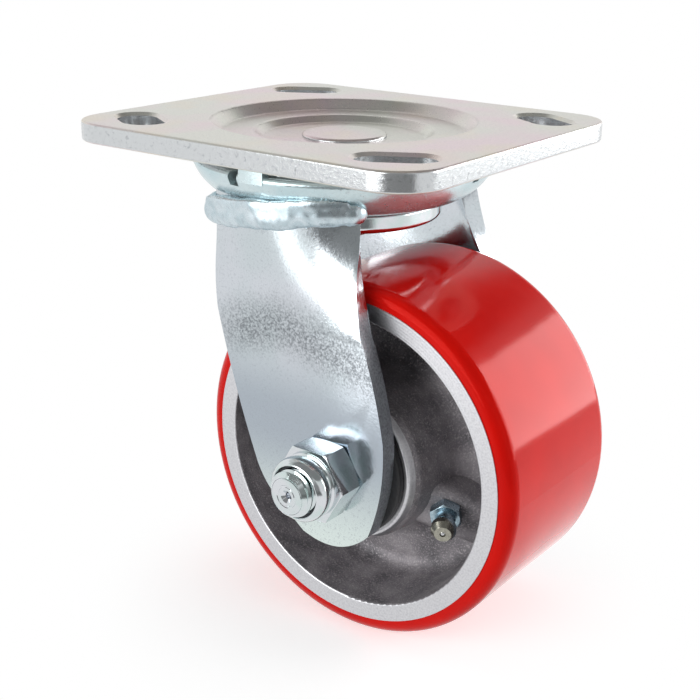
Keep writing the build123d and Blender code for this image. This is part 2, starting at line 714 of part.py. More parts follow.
# ---------------------------------------------------------------- write every sub-part


def main():
    """Build each piece in its place and write it."""
    save(top_plate(), "top_plate")
    save(kingpin(), "kingpin")
    save(kingpin_nut(), "kingpin_nut")
    save(lower_race_cup(), "lower_race_cup")
    save(ball_ring(UPPER_COUNT, UPPER_CIRCLE_R, UPPER_BALL_R, UPPER_BALL_Z), "upper_balls")
    save(ball_ring(LOWER_COUNT, LOWER_CIRCLE_R, LOWER_BALL_R, LOWER_BALL_Z), "lower_balls")
    save(yoke_base(), "yoke_base")
    leg = near_leg()
    bead = weld_bead(leg)
    save(leg, "near_leg")
    save(mirrored(leg), "far_leg")
    save(bead, "near_weld_bead")
    save(mirrored(bead), "far_weld_bead")
    save(axle_bolt(), "axle_bolt")
    save(lock_nut(), "lock_nut")
    save(nut_insert(), "nut_insert")
    save(axle_sleeve(), "axle_sleeve")
    save(thrust_washer(-1), "near_thrust_washer")
    save(thrust_washer(1), "far_thrust_washer")
    save(bearing_rollers(), "bearing_rollers")
    save(roller_cage(), "roller_cage")
    save(wheel_core(), "wheel_core")
    save(tread(), "tread")
    save(grease_nipple(), "grease_nipple")
    save(nipple_ball(), "nipple_ball")


main()
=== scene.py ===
import math

import bpy
from bpy.props import FloatProperty, FloatVectorProperty, IntProperty, PointerProperty
from mathutils import Matrix, Vector


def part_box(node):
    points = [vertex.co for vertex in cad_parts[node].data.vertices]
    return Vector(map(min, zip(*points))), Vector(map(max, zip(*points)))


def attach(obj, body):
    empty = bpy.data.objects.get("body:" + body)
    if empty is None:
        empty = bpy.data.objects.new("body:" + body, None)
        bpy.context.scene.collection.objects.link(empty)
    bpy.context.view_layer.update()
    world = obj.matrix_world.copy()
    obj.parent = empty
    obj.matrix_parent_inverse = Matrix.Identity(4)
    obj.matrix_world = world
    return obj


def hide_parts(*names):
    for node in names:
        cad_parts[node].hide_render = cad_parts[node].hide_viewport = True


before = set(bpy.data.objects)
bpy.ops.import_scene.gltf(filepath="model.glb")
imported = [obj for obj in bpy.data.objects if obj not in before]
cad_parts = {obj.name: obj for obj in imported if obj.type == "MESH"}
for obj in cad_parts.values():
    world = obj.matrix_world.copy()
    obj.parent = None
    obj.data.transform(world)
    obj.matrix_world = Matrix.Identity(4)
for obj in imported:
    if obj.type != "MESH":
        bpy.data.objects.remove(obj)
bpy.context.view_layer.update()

bl_info = {
    "name": "Swivel castor finish",
    "version": (1, 0, 0),
    "blender": (4, 5, 0),
    "location": "View3D > Sidebar > Castor",
    "description": "Dresses the packed swivel castor: plated steel, cast wheel centre and red tread",
    "category": "Object",
}

MM = 0.001
INCH = 25.4 * MM

# ---------------------------------------------------------------- sizes that come from the frame

WHEEL_LOW, WHEEL_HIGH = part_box("tread")
NUT_LOW, NUT_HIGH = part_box("lock_nut")
AXLE_X = (WHEEL_LOW[0] + WHEEL_HIGH[0]) / 2
AXLE_Z = (WHEEL_LOW[2] + WHEEL_HIGH[2]) / 2
FLOOR_Z = WHEEL_LOW[2]
NUT_SEAT_Y = NUT_HIGH[1]
NUT_MOUTH_Y = NUT_LOW[1]
BOLT_TIP_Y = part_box("axle_bolt")[0][1]
BOLT_R = INCH / 4

# ---------------------------------------------------------------- where a finish changes on a part

# The bend of a leg, where a band of painted dark reflection lies: the heights between which the band comes and goes,
# how far the band sags away from its middle, and the x between which it fades towards the back
BEND_FADE_IN = (-60 * MM, -50 * MM)
BEND_FADE_OUT = (-49 * MM, -37 * MM)
BEND_MIDDLE_X = 6 * MM
BEND_SAG = 0.22
BEND_BACK = (-19 * MM, -6 * MM)
# The heights between which a leg turns from its bend to its flat, and from its flat to its foot
LEG_FLAT = (-74 * MM, -52 * MM)
LEG_FOOT = (-110 * MM, -78 * MM)
# How far from the wheel's middle plane its turned rim faces begin
RIM_FACE = (25.6 * MM, 25.75 * MM)
# Where the grease nipple's hexagon ends and its head begins, along the axle line
NIPPLE_HEAD = (-22.4 * MM, -21.4 * MM)

# ---------------------------------------------------------------- colour and node helpers

# Short names for the kinds of node
AXES = "ShaderNodeSeparateXYZ"
BUMP = "ShaderNodeBump"
GLOW = "ShaderNodeEmission"
MAPPING = "ShaderNodeMapping"
MATHS = "ShaderNodeMath"
MIX = "ShaderNodeMix"
MIX_SHADER = "ShaderNodeMixShader"
NOISE = "ShaderNodeTexNoise"
OUTPUT = "ShaderNodeOutputMaterial"
PATH = "ShaderNodeLightPath"
PLACE = "ShaderNodeTexCoord"
RANGE = "ShaderNodeMapRange"
SHADER = "ShaderNodeBsdfPrincipled"
VECTORS = "ShaderNodeVectorMath"


def linear(code):
    """An sRGB hex colour as linear RGBA."""
    values = [int(code[i:i + 2], 16) / 255 for i in (1, 3, 5)]
    return tuple(v / 12.92 if v <= 0.04045 else ((v + 0.055) / 1.055) ** 2.4 for v in values) + (1.0,)


def per_mm(size):
    """Texture scale whose features are about this many millimetres across."""
    return 1 / (size * MM)


def add(tree, kind, inputs, output=0, **settings):
    """Add a node with its settings and links, and give back one of its outputs.

    The inputs are a dict by name or number, or a tuple that starts at the first one.
    A Mix node counts its factor as input 0, two vectors as 4 and 5 and two colours as 6 and 7,
    and gives a vector as output 1 and a colour as output 2.
    """
    node = tree.nodes.new(kind)
    for name, value in settings.items():
        setattr(node, name, value)
    for key, value in inputs.items() if isinstance(inputs, dict) else enumerate(inputs):
        if isinstance(value, bpy.types.NodeSocket):
            tree.links.new(value, node.inputs[key])
        else:
            node.inputs[key].default_value = value
    return node.outputs[output] if node.outputs else None


def new_material(name):
    """An empty node material, its tree and the object coordinates."""
    material = bpy.data.materials.new(name)
    material.use_nodes = True
    tree = material.node_tree
    tree.nodes.clear()
    return material, tree, add(tree, PLACE, (), "Object")


def axle_radius(tree, place):
    """Distance of a point from the axle line, in metres."""
    moved = add(tree, MAPPING, {
        "Vector": place, "Location": (-AXLE_X, 0, -AXLE_Z), "Scale": (1, 0, 1),
    })
    return add(tree, VECTORS, (moved,), "Value", operation="LENGTH")


def upright(tree):
    """1 on faces that stand upright, 0 on level ones."""
    normal = add(tree, PLACE, (), "Normal")
    return add(tree, RANGE, (
        add(tree, MATHS, (add(tree, AXES, (normal,), "Z"),), operation="ABSOLUTE"), 0.3, 0.6, 1, 0,
    ))


def sideways(tree):
    """1 on faces that look along the axle line, 0 on those that run along it."""
    normal = add(tree, PLACE, (), "Normal")
    return add(tree, RANGE, (
        add(tree, MATHS, (add(tree, AXES, (normal,), "Y"),), operation="ABSOLUTE"), 0.05, 0.16, 0, 1,
    ))


# ---------------------------------------------------------------- finishes


def passivated_plate_zinc(colours):
    """Zinc plate with a clear chromate film: satin, with faint pink, green and straw clouds."""
    material, tree, place = new_material("passivated_plate_zinc")
    pink = add(tree, RANGE, (
        add(tree, NOISE, {"Vector": place, "Scale": per_mm(34), "Roughness": 0.55}), 0.42, 0.62, 0, 1,
    ))
    straw = add(tree, RANGE, (
        add(tree, NOISE, {"Vector": place, "Scale": per_mm(21), "Distortion": 0.6}), 0.5, 0.7, 0, 0.7,
    ))
    film = add(tree, MIX, {0: pink, 6: linear("#d9d9d0"), 7: linear("#e2cfd3")}, 2, data_type="RGBA")
    film = add(tree, MIX, {0: straw, 6: film, 7: linear("#e0d6c4")}, 2, data_type="RGBA")
    # Rolled steel shows through as a grain of a few tenths of a millimetre, drawn coarser here
    grain = add(tree, NOISE, {"Vector": place, "Scale": per_mm(0.7), "Roughness": 0.6})
    film = add(tree, MIX, {
        0: add(tree, RANGE, (grain, 0.5, 0.75, 0, 0.25)), 6: film, 7: colours.zinc_shade,
    }, 2, data_type="RGBA")
    # The sheared edges have no rolled scale under the zinc, so they are smoother and a little pitted
    pits = add(tree, NOISE, {"Vector": place, "Scale": per_mm(1.3), "Detail": 3.0, "Roughness": 0.7})
    edge_zinc = add(tree, MIX, {
        0: add(tree, RANGE, (pits, 0.55, 0.7, 0, 0.5)), 6: linear("#cfd2d4"), 7: linear("#8b9094"),
    }, 2, data_type="RGBA")
    colour = add(tree, MIX, {0: upright(tree), 6: film, 7: edge_zinc}, 2, data_type="RGBA")
    satin = add(tree, RANGE, (grain, 0.3, 0.7, 0.27, 0.34))
    surface = add(tree, SHADER, {
        "Base Color": colour, "Metallic": 0.8,
        "Roughness": add(tree, RANGE, (upright(tree), 0, 1, satin, 0.16)),
        "Normal": add(tree, BUMP, {
            "Height": grain, "Distance": 0.012 * MM,
            "Normal": add(tree, BUMP, {
                "Height": add(tree, MATHS, (pits, upright(tree)), operation="MULTIPLY"), "Distance": 0.05 * MM,
            }),
        }),
    })
    add(tree, OUTPUT, {"Surface": surface})
    return material


def blue_leg_zinc(colours):
    """Bright blue zinc on hot-rolled steel: a soft mirror with orange peel, coarse where the sheet bends, with a
    painted dark reflection there.
    """
    material, tree, place = new_material("blue_leg_zinc")
    across = add(tree, AXES, (place,), "X")
    height = add(tree, AXES, (place,), "Z")
    # The band over the bend, where a dark reflection is painted and the zinc is drawn coarser
    aside = add(tree, MATHS, (across, BEND_MIDDLE_X), operation="SUBTRACT")
    aside = add(tree, MATHS, (aside,), operation="ABSOLUTE")
    sag = add(tree, MATHS, (aside, BEND_SAG), operation="MULTIPLY")
    level = add(tree, MATHS, (height, sag), operation="ADD")
    below = add(tree, RANGE, (level, *BEND_FADE_IN, 0, 1), interpolation_type="SMOOTHSTEP")
    above = add(tree, RANGE, (level, *BEND_FADE_OUT, 1, 0), interpolation_type="SMOOTHSTEP")
    painted_reflection_band = add(tree, MATHS, (below, above), operation="MULTIPLY")
    forward = add(tree, RANGE, (across, *BEND_BACK, 0.3, 1), interpolation_type="SMOOTHSTEP")
    painted_reflection_band = add(tree, MATHS, (painted_reflection_band, forward), operation="MULTIPLY")
    cloud = add(tree, NOISE, {"Vector": place, "Scale": per_mm(16), "Roughness": 0.55})
    base = add(tree, MIX, {
        0: add(tree, RANGE, (cloud, 0.35, 0.65, 0, 1)), 6: linear("#d2d7dd"), 7: linear("#cbd4d8"),
    }, 2, data_type="RGBA")
    flat = add(tree, RANGE, (height, *LEG_FLAT, 1, 0), interpolation_type="SMOOTHSTEP")
    base = add(tree, MIX, {0: flat, 6: base, 7: linear("#aeb7c0")}, 2, data_type="RGBA")
    foot = add(tree, RANGE, (height, *LEG_FOOT, 1, 0), interpolation_type="SMOOTHSTEP")
    base = add(tree, MIX, {0: foot, 6: base, 7: linear("#dde9e5")}, 2, data_type="RGBA")
    # Orange peel about 1 mm across, with finer crystals on it
    peel = add(tree, NOISE, {"Vector": place, "Scale": per_mm(1.1), "Roughness": 0.6})
    crystals = add(tree, NOISE, {"Vector": place, "Scale": per_mm(0.6), "Roughness": 0.6})
    base = add(tree, MIX, {
        0: add(tree, RANGE, (crystals, 0.54, 0.72, 0, 0.4)), 6: base, 7: colours.zinc_shade,
    }, 2, data_type="RGBA")
    # Painted reflection over the bend: dark specks among bright ones, standing in for the dark room mirrored in the
    # curved zinc
    painted_reflection_specks = add(tree, RANGE, (crystals, 0.35, 0.65, 0.15, 0.9))
    base = add(tree, MIX, {
        0: add(tree, MATHS, (painted_reflection_band, painted_reflection_specks), operation="MULTIPLY"), 6: base, 7: linear("#72777c"),
    }, 2, data_type="RGBA")
    # The sheared edge is matt, and mottled with two greys
    edge = add(tree, RANGE, (sideways(tree), 0, 1, 1, 0))
    sheared = add(tree, MIX, {
        0: add(tree, RANGE, (crystals, 0.4, 0.65, 0, 1)), 6: linear("#aab0b6"), 7: linear("#868b92"),
    }, 2, data_type="RGBA")
    skin = add(tree, BUMP, {
        "Height": crystals, "Distance": 0.014 * MM,
        "Normal": add(tree, BUMP, {"Height": peel, "Distance": 0.02 * MM}),
    })
    coarse = add(tree, BUMP, {
        "Height": add(tree, MATHS, (crystals, painted_reflection_band), operation="MULTIPLY"), "Distance": 0.05 * MM,
        "Normal": skin,
    })
    shine = add(tree, RANGE, (peel, 0.3, 0.7, 0.14, 0.2))
    surface = add(tree, SHADER, {
        "Base Color": add(tree, MIX, {0: edge, 6: base, 7: sheared}, 2, data_type="RGBA"),
        "Metallic": add(tree, RANGE, (edge, 0, 1, 1.0, 0.55)),
        "Roughness": add(tree, RANGE, (edge, 0, 1, shine, 0.42)), "Normal": coarse,
    })
    add(tree, OUTPUT, {"Surface": surface})
    return material


def bowl_zinc(colours):
    """Blue zinc on the drawn bowl: smoother than the leg, pale cyan, with faint draw marks."""
    material, tree, place = new_material("drawn_bowl_zinc")
    cloud = add(tree, NOISE, {"Vector": place, "Scale": per_mm(12), "Roughness": 0.55})
    base = add(tree, MIX, {
        0: add(tree, RANGE, (cloud, 0.4, 0.65, 0, 1)), 6: linear("#d0dfe2"), 7: linear("#c3d8dd"),
    }, 2, data_type="RGBA")
    grain = add(tree, NOISE, {"Vector": place, "Scale": per_mm(0.8), "Roughness": 0.55})
    colour = add(tree, MIX, {
        0: add(tree, RANGE, (grain, 0.55, 0.8, 0, 0.3)), 6: base, 7: colours.zinc_shade,
    }, 2, data_type="RGBA")
    surface = add(tree, SHADER, {
        "Base Color": colour, "Metallic": 0.75, "Roughness": add(tree, RANGE, (grain, 0.3, 0.7, 0.2, 0.28)),
        "Normal": add(tree, BUMP, {"Height": grain, "Distance": 0.014 * MM}),
    })
    add(tree, OUTPUT, {"Surface": surface})
    return material


def weld_zinc(colours):
    """Zinc over a hand-run weld: wavy, bright on the ripples and grey between them."""
    material, tree, place = new_material("plated_weld_zinc")
    streak = add(tree, NOISE, {"Vector": place, "Scale": per_mm(6.0), "Distortion": 1.2})
    fine = add(tree, NOISE, {"Vector": place, "Scale": per_mm(1.2), "Roughness": 0.55})
    base = add(tree, MIX, {
        0: add(tree, RANGE, (streak, 0.35, 0.65, 0, 1)), 6: linear("#d3dfe5"), 7: linear("#bccdd4"),
    }, 2, data_type="RGBA")
    colour = add(tree, MIX, {
        0: add(tree, RANGE, (fine, 0.55, 0.75, 0, 0.5)), 6: base, 7: colours.zinc_shade,
    }, 2, data_type="RGBA")
    surface = add(tree, SHADER, {
        "Base Color": colour, "Metallic": 1.0, "Roughness": add(tree, RANGE, (fine, 0.3, 0.7, 0.24, 0.34)),
        "Normal": add(tree, BUMP, {
            "Height": fine, "Distance": 0.012 * MM,
            "Normal": add(tree, BUMP, {"Height": streak, "Distance": 0.1 * MM}),
        }),
    })
    add(tree, OUTPUT, {"Surface": surface})
    return material


def bright_fastener_zinc(colours):
    """Bright zinc on machined fasteners and rings: nearly a mirror, with fine turning grain."""
    material, tree, place = new_material("bright_fastener_zinc")
    cloud = add(tree, NOISE, {"Vector": place, "Scale": per_mm(5), "Roughness": 0.55})
    fine = add(tree, NOISE, {"Vector": place, "Scale": per_mm(0.5), "Roughness": 0.55})
    colour = add(tree, MIX, {
        0: add(tree, RANGE, (cloud, 0.4, 0.65, 0, 1)), 6: linear("#dadde1"), 7: linear("#cddad9"),
    }, 2, data_type="RGBA")
    surface = add(tree, SHADER, {
        "Base Color": colour, "Metallic": 1.0, "Roughness": add(tree, RANGE, (fine, 0.3, 0.7, 0.09, 0.16)),
        "Normal": add(tree, BUMP, {"Height": fine, "Distance": 0.008 * MM}),
    })
    add(tree, OUTPUT, {"Surface": surface})
    return material


def bearing_steel(colours):
    """Hardened, ground bearing steel: grey and polished, with a film of grease."""
    material, tree, place = new_material("ground_bearing_steel")
    film = add(tree, NOISE, {"Vector": place, "Scale": per_mm(2.4), "Roughness": 0.55})
    colour = add(tree, MIX, {
        0: add(tree, RANGE, (film, 0.4, 0.65, 0, 1)), 6: linear("#c3c5c8"), 7: linear("#a9a498"),
    }, 2, data_type="RGBA")
    surface = add(tree, SHADER, {
        "Base Color": colour, "Metallic": 1.0, "Roughness": add(tree, RANGE, (film, 0.3, 0.7, 0.1, 0.24)),
    })
    add(tree, OUTPUT, {"Surface": surface})
    return material


def cast_iron_core(colours):
    """Sand-cast grey iron, grainy and dark, with painted glints on its grains, and the rim's faces turned bright."""
    material, tree, place = new_material("cast_iron_core")
    radius = axle_radius(tree, place)
    side = add(tree, MATHS, (add(tree, AXES, (place,), "Y"),), operation="ABSOLUTE")
    rim = add(tree, RANGE, (side, *RIM_FACE, 0, 1))
    grit = add(tree, NOISE, {"Vector": place, "Scale": per_mm(1.0), "Detail": 4.0, "Roughness": 0.65})
    sand = add(tree, NOISE, {"Vector": place, "Scale": per_mm(0.55), "Roughness": 0.6})
    patch = add(tree, NOISE, {"Vector": place, "Scale": per_mm(9), "Roughness": 0.55})
    base = add(tree, MIX, {
        0: add(tree, RANGE, (patch, 0.3, 0.7, 0, 1)), 6: colours.iron, 7: linear("#a5a0a4"),
    }, 2, data_type="RGBA")
    # Painted glints: lighter sand grains in the colour, standing in for highlights
    painted_glint = add(tree, RANGE, (sand, 0.52, 0.72, 0, 0.75))
    cast = add(tree, MIX, {0: painted_glint, 6: base, 7: linear("#c9c2c5")}, 2, data_type="RGBA")
    # Turning marks about 0.4 mm apart on the machined faces, drawn at twice that
    lathe = add(tree, MATHS, (
        add(tree, MATHS, (radius, 2 * math.pi * per_mm(0.8)), operation="MULTIPLY"),
    ), operation="SINE")
    turned = add(tree, MIX, {
        0: add(tree, RANGE, (sand, 0.4, 0.7, 0, 1)), 6: colours.turned_iron, 7: linear("#bdbdc1"),
    }, 2, data_type="RGBA")
    skin = add(tree, MIX, {
        0: rim,
        4: add(tree, BUMP, {
            "Height": sand, "Distance": 0.12 * MM,
            "Normal": add(tree, BUMP, {"Height": grit, "Distance": 0.2 * MM}),
        }),
        5: add(tree, BUMP, {"Height": lathe, "Distance": 0.006 * MM}),
    }, 1, data_type="VECTOR")
    surface = add(tree, SHADER, {
        "Base Color": add(tree, MIX, {0: rim, 6: cast, 7: turned}, 2, data_type="RGBA"),
        "Metallic": add(tree, RANGE, (rim, 0, 1, 0.35, 1.0)),
        "Roughness": add(tree, RANGE, (rim, 0, 1, 0.48, 0.38)), "Normal": skin,
    })
    add(tree, OUTPUT, {"Surface": surface})
    return material


def cast_polyurethane(colours):
    """Cast polyurethane: glossy deep red with very shallow waves, so reflections have soft edges."""
    material, tree, place = new_material("cast_polyurethane")
    wave = add(tree, NOISE, {"Vector": place, "Scale": per_mm(16), "Detail": 1.0, "Roughness": 0.55})
    fine = add(tree, NOISE, {"Vector": place, "Scale": per_mm(2.2), "Roughness": 0.55})
    colour = add(tree, MIX, {
        0: add(tree, RANGE, (wave, 0.3, 0.7, 0, 1)), 6: colours.red, 7: linear("#cc1410"),
    }, 2, data_type="RGBA")
    surface = add(tree, SHADER, {
        "Base Color": colour, "Roughness": add(tree, RANGE, (fine, 0.3, 0.7, 0.09, 0.13)), "IOR": 1.52,
        "Specular IOR Level": 0.32, "Specular Tint": linear("#ff5a50"),
        "Normal": add(tree, BUMP, {
            "Height": fine, "Distance": 0.005 * MM,
            "Normal": add(tree, BUMP, {"Height": wave, "Distance": 0.05 * MM}),
        }),
    })
    add(tree, OUTPUT, {"Surface": surface})
    return material


def black_washer(colours):
    """Moulded black washer: satin plastic with a fine spark grain."""
    material, tree, place = new_material("moulded_black_washer")
    grain = add(tree, NOISE, {"Vector": place, "Scale": per_mm(0.5), "Detail": 3.0, "Roughness": 0.55})
    colour = add(tree, MIX, {
        0: add(tree, RANGE, (grain, 0.4, 0.7, 0, 1)), 6: colours.black, 7: linear("#232326"),
    }, 2, data_type="RGBA")
    surface = add(tree, SHADER, {
        "Base Color": colour, "Roughness": add(tree, RANGE, (grain, 0.3, 0.7, 0.4, 0.52)),
        "Normal": add(tree, BUMP, {"Height": grain, "Distance": 0.02 * MM}),
    })
    add(tree, OUTPUT, {"Surface": surface})
    return material


def insert_nylon(colours):
    """Dark blue nylon of the locking insert, slightly waxy."""
    material, tree, place = new_material("insert_nylon")
    grain = add(tree, NOISE, {"Vector": place, "Scale": per_mm(0.9), "Detail": 3.0, "Roughness": 0.55})
    colour = add(tree, MIX, {
        0: add(tree, RANGE, (grain, 0.3, 0.7, 0, 1)), 6: linear("#15181f"), 7: linear("#1f2530"),
    }, 2, data_type="RGBA")
    surface = add(tree, SHADER, {
        "Base Color": colour, "Roughness": add(tree, RANGE, (grain, 0.3, 0.7, 0.35, 0.45)),
        "Normal": add(tree, BUMP, {"Height": grain, "Distance": 0.01 * MM}),
    })
    add(tree, OUTPUT, {"Surface": surface})
    return material


def nipple_zinc(colours):
    """Blue-plated grease nipple: a pale blue hexagon and a duller nickel-grey head."""
    material, tree, place = new_material("nipple_zinc")
    fine = add(tree, NOISE, {"Vector": place, "Scale": per_mm(0.6), "Roughness": 0.55})
    outward = add(tree, AXES, (place,), "Y")
    head = add(tree, RANGE, (outward, *NIPPLE_HEAD, 1, 0))
    blue = add(tree, MIX, {
        0: add(tree, RANGE, (fine, 0.4, 0.7, 0, 1)), 6: linear("#a9bcc6"), 7: linear("#93aab6"),
    }, 2, data_type="RGBA")
    dull = add(tree, MIX, {
        0: add(tree, RANGE, (fine, 0.4, 0.7, 0, 1)), 6: linear("#a3a195"), 7: linear("#8d8b82"),
    }, 2, data_type="RGBA")
    surface = add(tree, SHADER, {
        "Base Color": add(tree, MIX, {0: head, 6: blue, 7: dull}, 2, data_type="RGBA"), "Metallic": 1.0,
        "Roughness": add(tree, RANGE, (fine, 0.3, 0.7, 0.2, 0.3)),
        "Normal": add(tree, BUMP, {"Height": fine, "Distance": 0.01 * MM}),
    })
    add(tree, OUTPUT, {"Surface": surface})
    return material


FINISHES = {
    "plate_zinc": passivated_plate_zinc, "blue_zinc": blue_leg_zinc, "bowl_zinc": bowl_zinc,
    "weld_zinc": weld_zinc, "bright_zinc": bright_fastener_zinc, "bearing_steel": bearing_steel,
    "cast_core": cast_iron_core, "red_tread": cast_polyurethane, "black_washer": black_washer,
    "insert_nylon": insert_nylon, "nipple_zinc": nipple_zinc,
}
NODE_FINISH = {
    "top_plate": "plate_zinc", "kingpin": "plate_zinc", "kingpin_nut": "bright_zinc",
    "lower_race_cup": "bright_zinc", "upper_balls": "bearing_steel", "lower_balls": "bearing_steel",
    "yoke_base": "bowl_zinc", "nut_insert": "insert_nylon", "axle_sleeve": "bearing_steel",
    "near_thrust_washer": "black_washer", "far_thrust_washer": "black_washer",
    "bearing_rollers": "bearing_steel", "roller_cage": "bearing_steel", "wheel_core": "cast_core",
    "tread": "red_tread", "grease_nipple": "nipple_zinc", "nipple_ball": "bearing_steel",
}
MADE_FINISHES = {}


def finish(name):
    """The named finish, made once."""
    if name not in MADE_FINISHES:
        MADE_FINISHES[name] = FINISHES[name](bpy.context.scene.castor_colours)
    return MADE_FINISHES[name]


# ---------------------------------------------------------------- modelling helpers

# Corners nearer than this are one, and faces that turn less than this from each other are one
MERGE = 0.002 * MM
LEVEL_ENOUGH = math.radians(0.3)
# Size of the plane that is merged to the first point of a drawn line
POINT = 0.1 * MM


def start_clean():
    """Object mode with nothing selected."""
    if bpy.context.mode != "OBJECT":
        bpy.ops.object.mode_set(mode="OBJECT")
    bpy.ops.object.select_all(action="DESELECT")


def take(piece):
    """Make one object the selected, active one."""
    start_clean()
    bpy.context.view_layer.objects.active = piece
    piece.select_set(True)


def merged_copy(node, name):
    """A copy of a CAD node's mesh with its corners merged, as an object of its own."""
    piece = bpy.data.objects.new(name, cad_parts[node].data.copy())
    piece.data.name = name
    piece.data.materials.clear()
    bpy.context.scene.collection.objects.link(piece)
    take(piece)
    if piece.data.has_custom_normals:
        bpy.ops.mesh.customdata_custom_splitnormals_clear()
    bpy.ops.object.mode_set(mode="EDIT")
    bpy.ops.mesh.select_all(action="SELECT")
    bpy.ops.mesh.remove_doubles(threshold=MERGE)
    bpy.ops.mesh.dissolve_limited(angle_limit=LEVEL_ENOUGH)
    bpy.ops.object.mode_set(mode="OBJECT")
    return piece


def apply_modifier(piece, name, kind, settings):
    """Add a modifier with its settings and apply it."""
    take(piece)
    modifier = piece.modifiers.new(name, kind)
    for key, value in settings.items():
        setattr(modifier, key, value)
    bpy.ops.object.modifier_apply(modifier=modifier.name)


def outwards(piece):
    """Merge doubles and turn every face outwards."""
    take(piece)
    bpy.ops.object.mode_set(mode="EDIT")
    bpy.ops.mesh.select_all(action="SELECT")
    bpy.ops.mesh.remove_doubles(threshold=MERGE)
    bpy.ops.mesh.normals_make_consistent(inside=False)
    bpy.ops.object.mode_set(mode="OBJECT")


def drawn(name, points):
    """An object in edit mode whose vertices run from point to point."""
    start_clean()
    bpy.ops.mesh.primitive_plane_add(size=POINT, location=(0, 0, 0))
    piece = bpy.context.object
    piece.name = name
    piece.data.name = name
    bpy.ops.object.mode_set(mode="EDIT")
    bpy.ops.mesh.select_all(action="SELECT")
    bpy.ops.mesh.merge(type="CENTER")
    bpy.ops.transform.translate(value=points[0])
    for before, after in zip(points, points[1:]):
        bpy.ops.mesh.extrude_region_move(TRANSFORM_OT_translate={"value": after - before})
    bpy.ops.mesh.select_all(action="SELECT")
    return piece


def spun(name, profile, steps):
    """A ring or rod turned about the axle line from a profile of radii in millimetres and y in metres."""
    piece = drawn(name, [Vector((AXLE_X + r * MM, y, AXLE_Z)) for r, y in profile])
    bpy.ops.mesh.spin(steps=steps, angle=2 * math.pi, center=(AXLE_X, 0, AXLE_Z), axis=(0, 1, 0))
    bpy.ops.object.mode_set(mode="OBJECT")
    outwards(piece)
    return piece


def cut_across(piece, y):
    """Cut a piece square to the axle line at y, and keep what lies on the far side of it."""
    take(piece)
    bpy.ops.object.mode_set(mode="EDIT")
    bpy.ops.mesh.select_all(action="SELECT")
    bpy.ops.mesh.bisect(plane_co=(0, y, 0), plane_no=(0, 1, 0), use_fill=True, clear_inner=True)
    bpy.ops.object.mode_set(mode="OBJECT")


def join(pieces, name):
    """Join pieces into the first."""
    start_clean()
    for piece in pieces:
        piece.select_set(True)
    bpy.context.view_layer.objects.active = pieces[0]
    bpy.ops.object.join()
    pieces[0].name = name
    pieces[0].data.name = name
    return pieces[0]


def hand_over(piece, body, node, slot, crease):
    """Finish a piece: its material, its shading, its body and the node that it stands for."""
    take(piece)
    bpy.ops.object.transform_apply(location=True, rotation=True, scale=True)
    piece.data.materials.clear()
    piece.data.materials.append(finish(slot))
    bpy.ops.object.shade_smooth_by_angle(angle=math.radians(crease))
    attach(piece, body)
    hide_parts(node)


# ---------------------------------------------------------------- sizes and colours a user may change


class CastorColours(bpy.types.PropertyGroup):
    """Colours of the castor's main finishes."""

    zinc_shade: FloatVectorProperty(
        name="Zinc shade", description="Grey between the bright crystals of the plating",
        default=linear("#a3a9b0"), subtype="COLOR", size=4, min=0, max=1,
    )
    iron: FloatVectorProperty(
        name="Cast iron", description="Dark colour of the sand-cast wheel centre",
        default=linear("#6c6a6e"), subtype="COLOR", size=4, min=0, max=1,
    )
    turned_iron: FloatVectorProperty(
        name="Turned iron", description="Colour of the machined rim faces",
        default=linear("#d0d0d3"), subtype="COLOR", size=4, min=0, max=1,
    )
    red: FloatVectorProperty(
        name="Tread red", description="Colour of the polyurethane tread",
        default=linear("#d8140d"), subtype="COLOR", size=4, min=0, max=1,
    )
    black: FloatVectorProperty(
        name="Washer black", description="Colour of the thrust washers",
        default=linear("#131315"), subtype="COLOR", size=4, min=0, max=1,
    )


class CastorSizes(bpy.types.PropertyGroup):
    """Sizes of the detail that is modelled over the frame."""

    leg_round: FloatProperty(
        name="Leg edge", description="Radius of the rolled edge round a fork leg", default=1.7 * MM,
        min=0, unit="LENGTH",
    )
    thread_pitch: FloatProperty(
        name="Thread pitch", description="Distance from one turn of the bolt's thread to the next",
        default=INCH / 13, min=0.5 * MM, unit="LENGTH",
    )
    thread_root: FloatProperty(
        name="Thread root", description="Radius at the bottom of the bolt's thread", default=5.35 * MM,
        min=1 * MM, unit="LENGTH",
    )
    weld_ripple: FloatProperty(
        name="Weld ripple", description="Height of the ripples on the weld beads", default=1.1 * MM,
        min=0, unit="LENGTH",
    )
    round_steps: IntProperty(
        name="Steps round", description="Number of steps round a turned ring", default=96, min=24, max=256,
    )


class CastorStudio(bpy.types.PropertyGroup):
    """Strengths of the studio's lights."""

    key_light: FloatProperty(
        name="Key", description="Radiance of the soft box in front, on the left", default=3.4, min=0,
    )
    side_light: FloatProperty(
        name="Side", description="Radiance of the tall soft box behind, on the right", default=4.8, min=0,
    )
    surround: FloatProperty(
        name="Surround", description="Strength of the white surround as a light", default=0.4, min=0,
    )


# ---------------------------------------------------------------- sizes of the modelled detail

# Faces that meet at more than this many degrees are creased
LEG_CREASE, WELD_CREASE, TURNED_CREASE = 50, 60, 32
# Only the leg's and the hexagon's real corners are rounded, not the facets of their curves
LEG_CORNER = math.radians(50)
HEXAGON_CORNER = math.radians(25)
HEXAGON_ROUND = 0.25 * MM
# The weld's metal: the grid that melts it, the passes that let it flow, and how wide its ripples are
WELD_GRID = 0.45 * MM
WELD_PASSES = 26
RIPPLE_WIDE = 7.5 * MM
# Share of a ripple that lies below the bead's own surface
RIPPLE_MIDDLE = 0.35
# The bolt is cut inside the nut, this far in from its mouth, and its new end laps over the old one
THREAD_IN = 3.4 * MM
LAP = 0.2 * MM
# Depth of the nut's hexagon from its seat, where its turned collar begins
HEXAGON_HIGH = 8.4 * MM


# ---------------------------------------------------------------- operators


